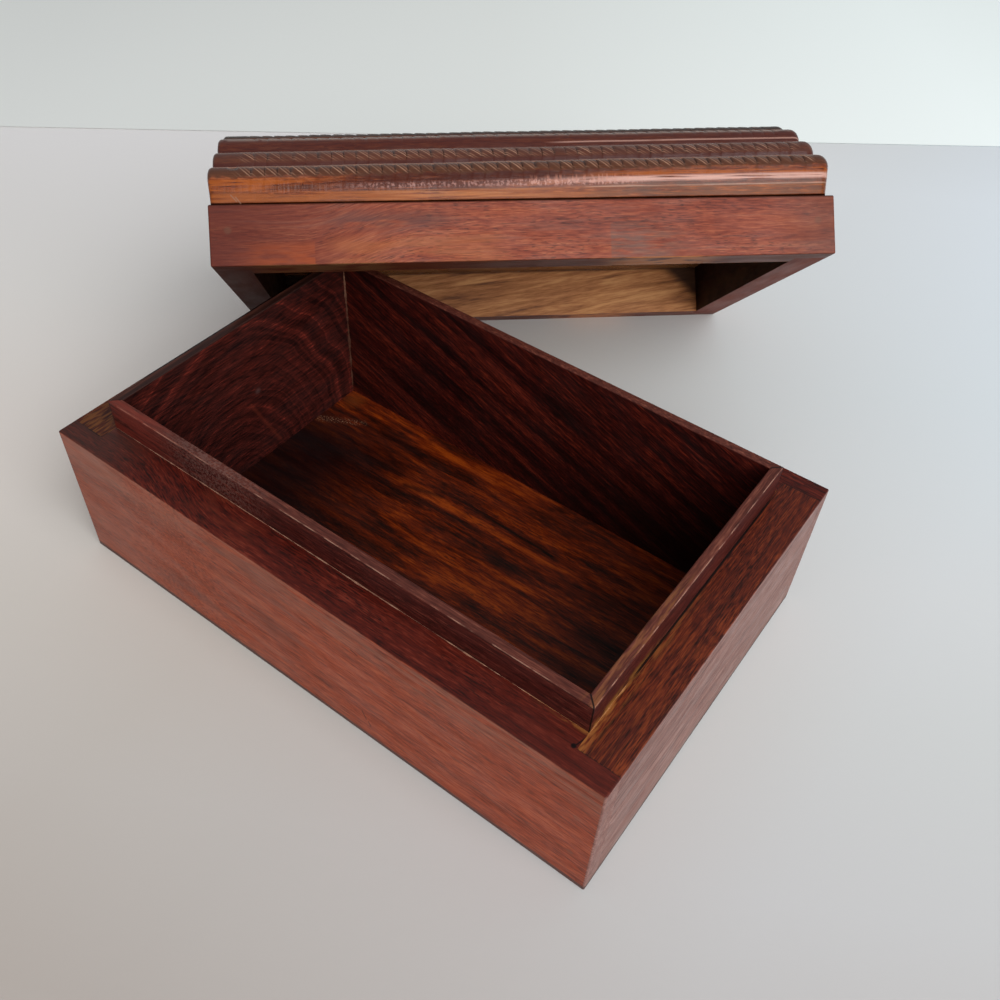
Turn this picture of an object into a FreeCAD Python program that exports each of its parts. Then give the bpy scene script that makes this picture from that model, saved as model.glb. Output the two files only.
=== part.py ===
"""Keepsake box in dark hardwood with a lift-off lid whose thick top is carved in rope ridges.

The box rests on its underside at z = 0, with its long side along X and its front towards -Y.
The lid lies off the box: its back rim stands on the table behind the box, and its ceiling
leans on the box's back left corner.  Lengths are in millimetres.
"""
import FreeCAD, Part
import math
import os
import Sketcher

from FreeCAD import Rotation, Vector

# alias, value, what it measures
DIMENSIONS = [
    ("box_length", 200.0, "outside length of base and lid, along X"),
    ("box_width", 128.0, "outside width of base and lid, along Y"),
    ("base_height", 53.0, "height of the base's outer walls"),
    ("long_wall", 12.0, "thickness of the base's front and back walls"),
    ("end_wall", 12.6, "thickness of the base's end walls"),
    ("base_tongue", 6.5, "wood of the long walls that laps over the end walls"),
    ("floor_thickness", 3.0, "thickness of the bottom panel"),
    ("liner_thickness", 3.0, "thickness of the liner strips"),
    ("lip_height", 11.0, "how far the liner stands above the ledge"),
    ("lid_wall", 11.4, "thickness of the lid's walls"),
    ("lid_wall_height", 19.0, "height of the lid's walls, up to its ceiling"),
    ("lid_tongue", 6.2, "wood of the lid's long walls that laps over its ends"),
    ("top_inset", 0.7, "how far the carved top is set in from the lid's long walls"),
    ("ridge_count", 11, "ridges across the carved top"),
    ("ridge_overlap", 0.3, "how far neighbouring ridges run into each other"),
    ("crest_1", 14.0, "outermost ridge: crest above the lid's walls"),
    ("crest_2", 22.0, "second ridge"),
    ("crest_3", 30.0, "third ridge"),
    ("crest_4", 34.8, "fourth ridge"),
    ("crest_5", 37.4, "fifth ridge"),
    ("crest_6", 38.3, "middle ridge"),
    ("flank_tuck", 0.8, "how far the outer flanks curl in at their foot"),
    ("left_end_round", 1.3, "rounding of the ridges' left ends"),
    ("right_end_round", 3.4, "rounding of the ridges' right ends"),
    ("edge_ease", 0.5, "easing of the outer edges"),
    ("lip_ease", 0.4, "easing of the lip's top edges"),
    ("nail_diameter", 1.6, "corner nails"),
    ("nail_length", 21.0, "corner nails"),
    ("nail_set", 1.0, "depth of the filled nail heads below the face"),
    ("base_nail_low", 16.0, "height of the base's lower nails"),
    ("base_nail_high", 35.0, "height of the base's upper nails"),
    ("lid_nail", 11.0, "height of the lid's nails above its rim"),
    ("lean_yaw", 42.2, "turn of the leaning lid about the vertical, in degrees"),
    ("lean_tilt", 45.0, "tilt of the leaning lid, front edge up, in degrees"),
    ("lean_reach", 63.25, "how far left of the lid's middle it leans on the box"),
    ("lean_gap", 0.1, "air left between the lid's ceiling and the box's corner"),
]

doc = FreeCAD.newDocument("keepsake_box")
sheet = doc.addObject("Spreadsheet::Sheet", "Dims")


def fill_sheet():
    """One row per dimension: value with its alias, and what it measures."""
    for row, (alias, value, meaning) in enumerate(DIMENSIONS, start=1):
        sheet.set(f"A{row}", meaning)
        sheet.set(f"B{row}", str(value))
        sheet.setAlias(f"B{row}", alias)
    doc.recompute()


def value_of(expression):
    """Number that an expression over the sheet comes to."""
    return float(sheet.evalExpression(expression))


# ---------------------------------------------------------------- sketches and pads

def origin_plane(body, role):
    return next(part for part in body.Origin.OriginFeatures if part.Role == role)


def new_sketch(body, role, name):
    sketch = body.newObject("Sketcher::SketchObject", name)
    sketch.AttachmentSupport = [(origin_plane(body, role), "")]
    sketch.MapMode = "FlatFace"
    return sketch


def bind(sketch, constraint, expression):
    """Add a dimension to the sketch and tie it to the sheet."""
    index = sketch.addConstraint(constraint)
    sketch.setExpression(f"Constraints[{index}]", expression)


def place_end(sketch, edge, end, across, up):
    """Hold one end of an edge (1 is its start) at the given expressions."""
    bind(sketch, Sketcher.Constraint("DistanceX", -1, 1, edge, end, value_of(across)), across)
    bind(sketch, Sketcher.Constraint("DistanceY", -1, 1, edge, end, value_of(up)), up)


def draw_outline(sketch, corners):
    """Closed outline of straight edges through corners given as pairs of expressions."""
    points = [Vector(value_of(across), value_of(up), 0) for across, up in corners]
    count = len(points)
    for i in range(count):
        sketch.addGeometry(Part.LineSegment(points[i], points[(i + 1) % count]), False)
    for i in range(count):
        sketch.addConstraint(Sketcher.Constraint("Coincident", i, 2, (i + 1) % count, 1))
    for i, (across, up) in enumerate(corners):
        place_end(sketch, i, 1, across, up)


def pad_up(body, sketch, length):
    pad = body.newObject("PartDesign::Pad", f"{body.Name}_pad")
    pad.Profile = (sketch, [""])
    pad.setExpression("Length", length)
    doc.recompute()
    return pad


def ease_edges(body, feature, wanted, size):
    """Fillet the edges of the feature whose middle point passes the test."""
    names = []
    for number, edge in enumerate(feature.Shape.Edges, start=1):
        middle = edge.valueAt((edge.FirstParameter + edge.LastParameter) / 2)
        if wanted(middle):
            names.append(f"Edge{number}")
    fillet = body.newObject("PartDesign::Fillet", f"{body.Name}_ease")
    fillet.Base = (feature, names)
    fillet.setExpression("Radius", size)
    doc.recompute()
    return fillet


def on_two_faces(height):
    """Test for points on an outer edge of a box as long and wide as this one."""
    half_length = value_of("Dims.box_length / 2")
    half_width = value_of("Dims.box_width / 2")
    top = value_of(height)

    def wanted(point):
        faces = [
            abs(abs(point.x) - half_length),
            abs(abs(point.y) - half_width),
            min(abs(point.z), abs(point.z - top)),
        ]
        return sum(distance < 1e-4 for distance in faces) == 2

    return wanted


def new_body(name):
    body = doc.addObject("PartDesign::Body", name)
    return body


# ---------------------------------------------------------------- walls of base and lid

HALF_LENGTH = "Dims.box_length / 2"
HALF_WIDTH = "Dims.box_width / 2"


def long_wall(name, side, wall, end, tongue, height):
    """Full-length wall, rabbeted at both ends so that a tongue laps over each end wall."""
    body = new_body(name)
    sketch = new_sketch(body, "XY_Plane", f"{name}_plan")
    sign = "-" if side < 0 else ""
    outside = f"{sign}({HALF_WIDTH})"
    inside = f"{sign}({HALF_WIDTH} - Dims.{wall})"
    lap = f"{sign}({HALF_WIDTH} - Dims.{tongue})"
    shoulder = f"{HALF_LENGTH} - Dims.{end}"
    draw_outline(sketch, [
        (f"-({HALF_LENGTH})", outside),
        (HALF_LENGTH, outside),
        (HALF_LENGTH, lap),
        (shoulder, lap),
        (shoulder, inside),
        (f"-({shoulder})", inside),
        (f"-({shoulder})", lap),
        (f"-({HALF_LENGTH})", lap),
    ])
    pad = pad_up(body, sketch, f"Dims.{height}")
    ease_edges(body, pad, on_two_faces(f"Dims.{height}"), "Dims.edge_ease")
    return body


def end_wall(name, side, end, tongue, height):
    """Short wall that sits in the rabbets between the two long walls."""
    body = new_body(name)
    sketch = new_sketch(body, "XY_Plane", f"{name}_plan")
    sign = "-" if side < 0 else ""
    outside = f"{sign}({HALF_LENGTH})"
    inside = f"{sign}({HALF_LENGTH} - Dims.{end})"
    reach = f"{HALF_WIDTH} - Dims.{tongue}"
    draw_outline(sketch, [
        (outside, f"-({reach})"),
        (outside, reach),
        (inside, reach),
        (inside, f"-({reach})"),
    ])
    pad = pad_up(body, sketch, f"Dims.{height}")
    ease_edges(body, pad, on_two_faces(f"Dims.{height}"), "Dims.edge_ease")
    return body


def corner_nails(name, end, heights):
    """Nails driven through the long walls' tongues into the end walls, one solid each."""
    nails = []
    for end_side in (-1, 1):
        for wall_side in (-1, 1):
            for height in heights:
                nail = doc.addObject("Part::Cylinder", f"{name}_{len(nails) + 1}")
                nail.setExpression("Radius", "Dims.nail_diameter / 2")
                nail.setExpression("Height", "Dims.nail_length")
                nail.Placement.Rotation = Rotation(Vector(1, 0, 0), 90 * wall_side)
                across = f"{end_side} * ({HALF_LENGTH} - Dims.{end} / 2)"
                along = f"{wall_side} * ({HALF_WIDTH} - Dims.nail_set)"
                nail.setExpression("Placement.Base.x", across)
                nail.setExpression("Placement.Base.y", along)
                nail.setExpression("Placement.Base.z", f"Dims.{height}")
                nails.append(nail)
    return nails


def grouped(name, solids):
    group = doc.addObject("Part::Compound", name)
    group.Links = solids
    doc.recompute()
    return group


def drilled(name, blank, holes):
    """The wall with its nail holes."""
    wall = doc.addObject("Part::Cut", name)
    wall.Base = blank
    wall.Tool = holes
    doc.recompute()
    return wall


def frame_of_walls(prefix, wall, end, tongue, height, nail_heights):
    """Four walls of the base or of the lid, with the nails that hold their corners."""
    nails = corner_nails(f"{prefix}_nail", end, nail_heights)
    holes = grouped(f"{prefix}_nail_holes", nails)
    blanks = {
        f"{prefix}_front_wall": long_wall(f"{prefix}_front_blank", -1, wall, end, tongue, height),
        f"{prefix}_back_wall": long_wall(f"{prefix}_back_blank", 1, wall, end, tongue, height),
        f"{prefix}_left_end": end_wall(f"{prefix}_left_blank", -1, end, tongue, height),
        f"{prefix}_right_end": end_wall(f"{prefix}_right_blank", 1, end, tongue, height),
    }
    pieces = [drilled(name, blank, holes) for name, blank in blanks.items()]
    return pieces + [grouped(f"{prefix}_corner_nails", nails)]


# ---------------------------------------------------------------- inside of the base

def bottom_panel():
    """Thin panel between the walls, flush with their underside."""
    body = new_body("bottom_panel")
    sketch = new_sketch(body, "XY_Plane", "bottom_panel_plan")
    reach_x = f"{HALF_LENGTH} - Dims.end_wall"
    reach_y = f"{HALF_WIDTH} - Dims.long_wall"
    draw_outline(sketch, [
        (f"-({reach_x})", f"-({reach_y})"),
        (reach_x, f"-({reach_y})"),
        (reach_x, reach_y),
        (f"-({reach_x})", reach_y),
    ])
    pad_up(body, sketch, "Dims.floor_thickness")
    return body


def liner_strip(name, along_x, side):
    """Thin strip mitred at both ends; it stands on the bottom panel and rises past the walls."""
    body = new_body(name)
    sketch = new_sketch(body, "XY_Plane", f"{name}_plan")
    sketch.setExpression("AttachmentOffset.Base.z", "Dims.floor_thickness")
    outer_x = f"({HALF_LENGTH} - Dims.end_wall)"
    outer_y = f"({HALF_WIDTH} - Dims.long_wall)"
    inner_x = f"({outer_x} - Dims.liner_thickness)"
    inner_y = f"({outer_y} - Dims.liner_thickness)"
    sign = "-" if side < 0 else ""
    if along_x:
        corners = [
            (f"-{outer_x}", sign + outer_y),
            (outer_x, sign + outer_y),
            (inner_x, sign + inner_y),
            (f"-{inner_x}", sign + inner_y),
        ]
    else:
        corners = [
            (sign + outer_x, f"-{outer_y}"),
            (sign + outer_x, outer_y),
            (sign + inner_x, inner_y),
            (sign + inner_x, f"-{inner_y}"),
        ]
    draw_outline(sketch, corners)
    pad = pad_up(body, sketch, "Dims.base_height + Dims.lip_height - Dims.floor_thickness")
    top = value_of("Dims.base_height + Dims.lip_height")
    long_axis = 0 if along_x else 1

    def top_long_edge(point):
        return abs(point.z - top) < 1e-4 and abs(point[long_axis]) < 1e-4

    ease_edges(body, pad, top_long_edge, "Dims.lip_ease")
    return body


# ---------------------------------------------------------------- carved top of the lid

def ridge(index):
    """One half-round ridge across the top, running the lid's length.

    The ridges stand side by side like rods glued up into a vault: each has upright flanks
    down to the lid's walls and a half-round crest.  Its ends are flush with the lid's end walls
    and rounded over, the right one more than the left.  The two outermost ridges have a bowed
    outer flank that tucks in at its foot.
    """
    count = int(value_of("Dims.ridge_count"))
    from_edge = min(index, count - 1 - index) + 1
    width = "(Dims.box_width - 2 * Dims.top_inset)"
    pitch = f"(({width} - Dims.ridge_overlap) / Dims.ridge_count)"
    radius = f"(({pitch} + Dims.ridge_overlap) / 2)"
    middle = f"({index - (count - 1) // 2} * {pitch})"
    front = f"({middle} - {radius})"
    back = f"({middle} + {radius})"
    front_foot = f"({front} + Dims.flank_tuck)" if index == 0 else front
    back_foot = f"({back} - Dims.flank_tuck)" if index == count - 1 else back
    foot = "Dims.lid_wall_height"
    spring = f"({foot} + Dims.crest_{from_edge} - {radius})"

    body = new_body(f"ridge_{index + 1}")
    sketch = new_sketch(body, "YZ_Plane", f"ridge_{index + 1}_section")
    draw_ridge(sketch, (front, back, spring), (front_foot, back_foot, foot))
    pad = body.newObject("PartDesign::Pad", f"ridge_{index + 1}_length")
    pad.Profile = (sketch, [""])
    pad.Midplane = True
    pad.setExpression("Length", "Dims.box_length")
    doc.recompute()
    half_length = value_of(HALF_LENGTH)
    floor = value_of(foot)

    def left_outline(point):
        return abs(point.x + half_length) < 1e-4 and point.z > floor + 1e-4

    def right_outline(point):
        return abs(point.x - half_length) < 1e-4 and point.z > floor + 1e-4

    left_eased = ease_edges(body, pad, left_outline, "Dims.left_end_round")
    ease_edges(body, left_eased, right_outline, "Dims.right_end_round")
    return body


def draw_ridge(sketch, top, bottom):
    """Section of a ridge: half-round crest, two flanks and a flat foot."""
    front, back, spring = top
    front_foot, back_foot, foot = bottom
    z_spring, z_foot = value_of(spring), value_of(foot)
    radius = (value_of(back) - value_of(front)) / 2
    centre = Vector(value_of(front) + radius, z_spring, 0)
    crest = Part.ArcOfCircle(Part.Circle(centre, Vector(0, 0, 1), radius), 0, math.pi)
    base = Part.LineSegment(Vector(value_of(front_foot), z_foot, 0),
                            Vector(value_of(back_foot), z_foot, 0))
    sketch.addGeometry(crest, False)
    sketch.addGeometry(base, False)
    place_end(sketch, 0, 2, front, spring)
    place_end(sketch, 0, 1, back, spring)
    place_end(sketch, 1, 1, front_foot, foot)
    place_end(sketch, 1, 2, back_foot, foot)
    bind(sketch, Sketcher.Constraint("DistanceY", -1, 1, 0, 3, z_spring), spring)
    add_flank(sketch, 2, (2, front, spring), (1, front_foot, foot))
    add_flank(sketch, 3, (1, back, spring), (2, back_foot, foot))


def add_flank(sketch, number, top, bottom):
    """Side of a ridge: upright, or an arc that leaves the crest upright and tucks in below."""
    crest_end, across, height = top
    base_end, across_foot, foot = bottom
    start = Vector(value_of(across), value_of(height), 0)
    stop = Vector(value_of(across_foot), value_of(foot), 0)
    tuck = stop.x - start.x
    if abs(tuck) < 1e-9:
        sketch.addGeometry(Part.LineSegment(start, stop), False)
        sketch.addConstraint(Sketcher.Constraint("Coincident", number, 1, 0, crest_end))
        sketch.addConstraint(Sketcher.Constraint("Coincident", number, 2, 1, base_end))
        return
    drop = start.y - stop.y
    radius = (drop ** 2 + tuck ** 2) / (2 * abs(tuck))
    sweep = math.asin(drop / radius)
    circle = Part.Circle(start + Vector(math.copysign(radius, tuck), 0, 0), Vector(0, 0, 1), radius)
    if tuck > 0:
        sketch.addGeometry(Part.ArcOfCircle(circle, math.pi, math.pi + sweep), False)
        top_end, foot_end = 1, 2
    else:
        sketch.addGeometry(Part.ArcOfCircle(circle, 2 * math.pi - sweep, 2 * math.pi), False)
        top_end, foot_end = 2, 1
    sketch.addConstraint(Sketcher.Constraint("Tangent", number, top_end, 0, crest_end))
    sketch.addConstraint(Sketcher.Constraint("Coincident", number, foot_end, 1, base_end))


def carved_top():
    """Thick domed block of ridges, set in a little from the lid's long walls."""
    top = doc.addObject("Part::MultiFuse", "carved_top")
    top.Shapes = [ridge(index) for index in range(int(value_of("Dims.ridge_count")))]
    doc.recompute()
    return top


# ---------------------------------------------------------------- where the lid leans

def leaning_place():
    """Place of the lid with its back rim on the table and its ceiling on the box's corner."""
    tilt = math.radians(value_of("Dims.lean_tilt"))
    ceiling = value_of("Dims.lid_wall_height - Dims.lean_gap")
    half_length, half_width = value_of(HALF_LENGTH), value_of(HALF_WIDTH)
    corner = Vector(-half_length, half_width, value_of("Dims.base_height"))
    eased = value_of("Dims.edge_ease") * (math.sin(tilt) + math.cos(tilt) - 1)
    from_rim = (corner.z + eased - ceiling * math.cos(tilt)) / math.sin(tilt)
    touch = Vector(-value_of("Dims.lean_reach"), half_width - from_rim, ceiling)
    turn = Rotation(Vector(0, 0, 1), value_of("Dims.lean_yaw"))
    lean = Rotation(Vector(1, 0, 0), value_of("-Dims.lean_tilt"))
    both = turn.multiply(lean)
    return FreeCAD.Placement(corner - both.multVec(touch), both)


# ---------------------------------------------------------------- the whole box

def build():
    fill_sheet()
    base = frame_of_walls("base", "long_wall", "end_wall", "base_tongue", "base_height",
                          ["base_nail_low", "base_nail_high"])
    base.append(bottom_panel())
    for name, along_x, side in (("liner_front", True, -1), ("liner_back", True, 1),
                                ("liner_left", False, -1), ("liner_right", False, 1)):
        base.append(liner_strip(name, along_x, side))
    lid = frame_of_walls("lid", "lid_wall", "lid_wall", "lid_tongue", "lid_wall_height",
                         ["lid_nail"])
    lid.append(carved_top())
    place = leaning_place()
    for piece in lid:
        piece.Placement = place
    doc.recompute()
    return base + lid


def check_document():
    """Stop if any object of the document failed to build."""
    failed = [item.Name for item in doc.Objects
              if "Invalid" in item.State or "Error" in item.State]
    if failed:
        raise RuntimeError(f"failed objects: {failed}")


def write_pieces(pieces):
    os.makedirs("parts", exist_ok=True)
    for piece in pieces:
        shape = piece.Shape
        if shape.isNull() or not shape.isValid():
            raise RuntimeError(f"{piece.Name} has no valid shape")
        piece.Label = piece.Name
        shape.exportStep(f"parts/{piece.Label}.step")
        print(f"{piece.Label}: {len(shape.Solids)} solid(s), {shape.Volume / 1000:.1f} cm3")


pieces = build()
check_document()
write_pieces(pieces)
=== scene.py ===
import math
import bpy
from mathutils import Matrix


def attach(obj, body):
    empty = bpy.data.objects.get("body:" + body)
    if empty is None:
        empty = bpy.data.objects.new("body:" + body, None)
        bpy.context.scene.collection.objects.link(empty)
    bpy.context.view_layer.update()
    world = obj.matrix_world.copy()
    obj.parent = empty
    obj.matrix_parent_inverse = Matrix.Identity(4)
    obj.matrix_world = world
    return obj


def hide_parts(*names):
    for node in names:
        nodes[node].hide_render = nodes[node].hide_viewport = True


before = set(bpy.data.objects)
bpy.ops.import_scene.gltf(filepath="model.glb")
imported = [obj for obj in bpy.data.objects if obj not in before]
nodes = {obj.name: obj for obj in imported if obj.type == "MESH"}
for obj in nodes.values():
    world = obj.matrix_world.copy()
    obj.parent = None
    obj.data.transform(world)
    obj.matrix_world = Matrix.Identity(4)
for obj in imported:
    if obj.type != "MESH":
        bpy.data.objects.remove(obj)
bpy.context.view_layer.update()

from types import SimpleNamespace

import bmesh
import bpy
from mathutils import Euler, Matrix, Vector, noise

mm = 0.001
print("frame loaded:", len(nodes), "pieces")

# where the lid leans, as the CAD places it: metres and degrees
lidPlace = {"position": (-0.0405316, 0.0925767, 0.0450477), "turn": (-45.0, 0.0, 42.2)}
lidTurn = Euler([math.radians(a) for a in lidPlace["turn"]])
lidMatrix = Matrix.Translation(lidPlace["position"]) @ lidTurn.to_matrix().to_4x4()


# ---- camera
cameraLook = {
    "lens": 36.381,
    "film": 36.0,
    "position": (0.138196, -0.173848, 0.270104),
    "turn": (43.4215, -2.4612, 36.2833),
}

cameraData = bpy.data.cameras.new("camera")
cameraData.lens = cameraLook["lens"]
cameraData.sensor_width = cameraLook["film"]
cameraData.clip_start = 0.01
camera = bpy.data.objects.new("camera", cameraData)
camera.location = cameraLook["position"]
camera.rotation_euler = [math.radians(a) for a in cameraLook["turn"]]
bpy.context.scene.collection.objects.link(camera)
bpy.context.scene.camera = camera
bpy.context.scene.view_settings.view_transform = "Standard"


# ---- helpers for materials
def toLinear(hexCode):
    channels = [int(hexCode[i:i + 2], 16) / 255 for i in (0, 2, 4)]
    return [c / 12.92 if c <= 0.04045 else ((c + 0.055) / 1.055) ** 2.4 for c in channels] + [1.0]


def plugIn(tree, node, inputs):  # by name, or in the editor's order; a node gives its first output in use
    if not isinstance(inputs, dict):
        inputs = dict(zip([i for i, socket in enumerate(node.inputs) if socket.enabled], inputs))
    for socket, value in inputs.items():
        if isinstance(value, bpy.types.Node):
            value = next(output for output in value.outputs if output.enabled)
        if isinstance(value, bpy.types.NodeSocket):
            tree.links.new(value, node.inputs[socket])
        else:
            node.inputs[socket].default_value = toLinear(value) if isinstance(value, str) else value


def addNode(tree, kind, inputs=(), stops=(), **settings):  # stops are the places and colours of a ramp
    node = tree.nodes.new(kind)
    for name, value in settings.items():
        setattr(node, name, value)
    plugIn(tree, node, inputs)
    if stops:
        elements = node.color_ramp.elements
        while len(elements) < len(stops):
            elements.new(0.5)
        for element, (place, code) in zip(elements, stops):
            element.position = place
            element.color = toLinear(code)
    return node


def startMaterial(name):
    material = bpy.data.materials.new(name)
    material.use_nodes = True
    return material, material.node_tree, material.node_tree.nodes["Principled BSDF"]


def fade(value, low, high):  # 0 at low, 1 at high, smooth in between
    limits = (value, low, high) if low < high else (value, high, low, 1.0, 0.0)
    return addNode(value.id_data, "ShaderNodeMapRange", limits, interpolation_type="SMOOTHSTEP")


def every(*factors):  # 1 only where all of them are
    product = factors[0]
    for factor in factors[1:]:
        product = addNode(product.id_data, "ShaderNodeMath", (product, factor), operation="MULTIPLY")
    return product


def either(first, second):
    return addNode(first.id_data, "ShaderNodeMath", (first, second), operation="MAXIMUM")


def within(value, low, high, soft=0.15):  # 1 where value lies between low and high
    return every(fade(value, low - soft, low + soft), fade(value, high + soft, high - soft))


def added(base, *layers):  # the base and a share of each layer
    for layer, share in layers:
        base = addNode(layer.id_data, "ShaderNodeMath", (layer, share, base), operation="MULTIPLY_ADD")
    return base


def tint(colour, factor, other, amount=1.0):  # goes over to the other colour as far as the factor says
    tree = colour.id_data
    factor = addNode(tree, "ShaderNodeMath", (factor, amount), operation="MULTIPLY")
    return addNode(tree, "ShaderNodeMix", (factor, colour, other), data_type="RGBA")


def grainNoise(place, along, across, detail=2.0, distortion=0.0):  # streaks of this size in mm
    tree = place.id_data
    size = (1 / along, 1 / across, 1 / across)
    sized = addNode(tree, "ShaderNodeMapping", {"Vector": place, "Scale": size})
    settings = {"Vector": sized, "Scale": 1.0, "Detail": detail, "Distortion": distortion}
    return addNode(tree, "ShaderNodeTexNoise", settings)


def shareAlong(place, start, stop):  # 0 at start and before it, 1 at stop and beyond
    tree, run = place.id_data, stop - start
    away = addNode(tree, "ShaderNodeVectorMath", (place, start), operation="SUBTRACT")
    share = addNode(tree, "ShaderNodeVectorMath", (away, run / run.length_squared), operation="DOT_PRODUCT")
    return addNode(tree, "ShaderNodeClamp", (share,))


# ---- the wood: sheesham, sawn into boards, planed, sanded and rubbed with satin lacquer
# red-brown heartwood with fine fibres, greyer streaks, and open pores that show as short dark dashes
woodLook = {
    "fibre": (4.0, 0.40),  # mm along and across the grain
    "streak": (26.0, 0.9),
    "pore": (3.0, 0.34),
    "silver": (30.0, 1.5),
    "poreDepth": 0.8,
    "roughness": (0.42, 0.58),
    "ior": 1.48,  # of satin lacquer
    "specular": 0.25,
    "shares": (0.36, 0.40, 0.64),  # of the broad bands, the streaks and the fibres in the colour
    "bump": 0.10,
    "bumpDepth": 0.0004,  # metres
    "handPlane": 22.0,  # mm between the shallow waves that a hand plane leaves
    "planed": 2.0,
    "seedStep": (37.0, 53.0, 71.0),  # mm from one board's patch of grain to the next one's
    "poreCover": (40.0, 7.0),  # the pores come in patches of this size
    "glossPatch": (16.0, 6.0),  # and so does the gloss
    "ringWobble": (34.0, 17.0),  # the rings waver over this size
    "wobbleShare": 0.35,  # and by this share of their stretch
    "ringCount": 6.0,  # in each stretch out from their centre
    "silverColour": "8a6a5c",
    "poreColour": "1c0906",
}


def startBoard(name, look):
    material, tree, shader = startMaterial(name)
    place = addNode(tree, "ShaderNodeTexCoord").outputs["Object"]
    if look.get("onLid"):
        inputs = {"Vector": place, "Location": lidPlace["position"], "Rotation": lidTurn}
        place = addNode(tree, "ShaderNodeMapping", inputs, vector_type="TEXTURE")
    place = addNode(tree, "ShaderNodeMapping", {"Vector": place, "Scale": (1 / mm, 1 / mm, 1 / mm)})
    x, y, z = addNode(tree, "ShaderNodeSeparateXYZ", (place,)).outputs[:3]
    farX, farY = [addNode(tree, "ShaderNodeMath", (value,), operation="ABSOLUTE") for value in (x, y)]
    grain = place
    if "swirl" in look:  # between two places along the board its grain runs off to one side
        low, high, rise = look["swirl"]
        rise = addNode(tree, "ShaderNodeVectorMath", (rise, fade(x, low, high)), operation="SCALE")
        grain = addNode(tree, "ShaderNodeVectorMath", (place, rise), operation="SUBTRACT")
    turn = [math.radians(a) for a in look.get("grainTurn", (0, 0, 0))]
    shift = [look["seed"] * step for step in woodLook["seedStep"]]
    grain = addNode(tree, "ShaderNodeMapping", {"Vector": grain, "Rotation": turn, "Location": shift})
    specular = look.get("specular", woodLook["specular"])
    plugIn(tree, shader, {"IOR": woodLook["ior"], "Specular IOR Level": specular})
    return SimpleNamespace(material=material, tree=tree, shader=shader, place=place, grain=grain,
                           x=x, y=y, z=z, farX=farX, farY=farY)


def ringTone(board, centre, stretch):  # a board sawn near the heart shows its rings as arches
    size = [1 / s for s in stretch]
    shift = [-c / s for c, s in zip(centre, stretch)]
    inputs = {"Vector": board.place, "Scale": size, "Location": shift}
    local = addNode(board.tree, "ShaderNodeMapping", inputs)
    far = addNode(board.tree, "ShaderNodeVectorMath", (local,), operation="LENGTH")
    far = added(far, (grainNoise(board.grain, *woodLook["ringWobble"]), woodLook["wobbleShare"]))
    settings = {"W": far, "Scale": woodLook["ringCount"], "Detail": 5.0, "Roughness": 0.75}
    return addNode(board.tree, "ShaderNodeTexNoise", settings, noise_dimensions="1D")


def woodColour(board, look):
    if "rings" in look:
        band = ringTone(board, *look["rings"])
    else:
        band = grainNoise(board.grain, *look["band"], 3.0, look.get("wander", 0.5))
    streak = grainNoise(board.grain, *woodLook["streak"], 3.0, 0.25)
    board.fibre = grainNoise(board.grain, *woodLook["fibre"], 3.0)
    shares = look.get("shares", woodLook["shares"])
    tone = added(0.5 - 0.5 * sum(shares), *zip((band, streak, board.fibre), shares))
    colour = addNode(board.tree, "ShaderNodeValToRGB", (tone,), look["stops"])
    silver = fade(grainNoise(board.grain, *woodLook["silver"], 3.0), 0.50, 0.68)
    colour = tint(colour, silver, look.get("silver", woodLook["silverColour"]), look.get("silvered", 0.15))
    pore = fade(grainNoise(board.grain, *woodLook["pore"], 1.0), 0.55, 0.63)
    patchy = fade(grainNoise(board.grain, *woodLook["poreCover"]), 0.36, 0.58)
    board.pore = every(pore, patchy)
    return tint(colour, board.pore, woodLook["poreColour"], look.get("pores", 0.5))


def finishBoard(board, look, colour):
    patch = grainNoise(board.grain, *woodLook["glossPatch"], 3.0)
    limits = (patch, 0.35, 0.65, *look.get("roughness", woodLook["roughness"]))
    rough = addNode(board.tree, "ShaderNodeMapRange", limits)
    planed = grainNoise(board.grain, woodLook["handPlane"] * 2, woodLook["handPlane"], 1.0)
    height = added(board.fibre, (board.pore, -woodLook["poreDepth"]), (planed, woodLook["planed"]))
    strength = look.get("bump", woodLook["bump"])
    relief = {"Height": height, "Strength": strength, "Distance": woodLook["bumpDepth"]}
    normal = addNode(board.tree, "ShaderNodeBump", relief)
    plugIn(board.tree, board.shader, {"Base Color": colour, "Roughness": rough, "Normal": normal})
    return board.material


def grainColour(board, stops, along, across, fibreShare=0.4):  # the grain of a face that is cut another way
    broad = grainNoise(board.grain, along, across, 3.0, 0.5)
    tone = added(0.0, (broad, 1 - fibreShare), (board.fibre, fibreShare))
    return addNode(board.tree, "ShaderNodeValToRGB", (tone,), stops)


# ---- marks on the boards: places are in mm, x to the right and y to the back of the middle, z up from the
# underside of the base or of the lid; each tone is a colour and how much of it covers the wood
def uneven(board, along, across, low, high):  # a patchy factor, so that no mark runs dead even
    return fade(grainNoise(board.place, along, across), low, high)


def strokeOn(first, second, start, stop, width, soft=0.2):  # 1 along a straight scratch or crack
    tree = first.id_data
    start, stop = Vector((*start, 0)), Vector((*stop, 0))
    place = addNode(tree, "ShaderNodeCombineXYZ", (first, second))
    share = shareAlong(place, start, stop)
    nearest = addNode(tree, "ShaderNodeVectorMath", (share, stop - start, start), operation="MULTIPLY_ADD")
    far = addNode(tree, "ShaderNodeVectorMath", (place, nearest), operation="DISTANCE")
    return fade(far, width / 2 + soft, max(0.0, width / 2 - soft))


def spotOn(first, second, centre, radius, soft=0.25):
    return strokeOn(first, second, centre, (centre[0] + 0.01, centre[1]), 2 * radius, soft)


def tintAll(colour, tones, **marks):  # each mark in the tone of its name, one over another in this order
    for name, mark in marks.items():
        colour = tint(colour, mark, *tones[name])
    return colour


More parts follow.
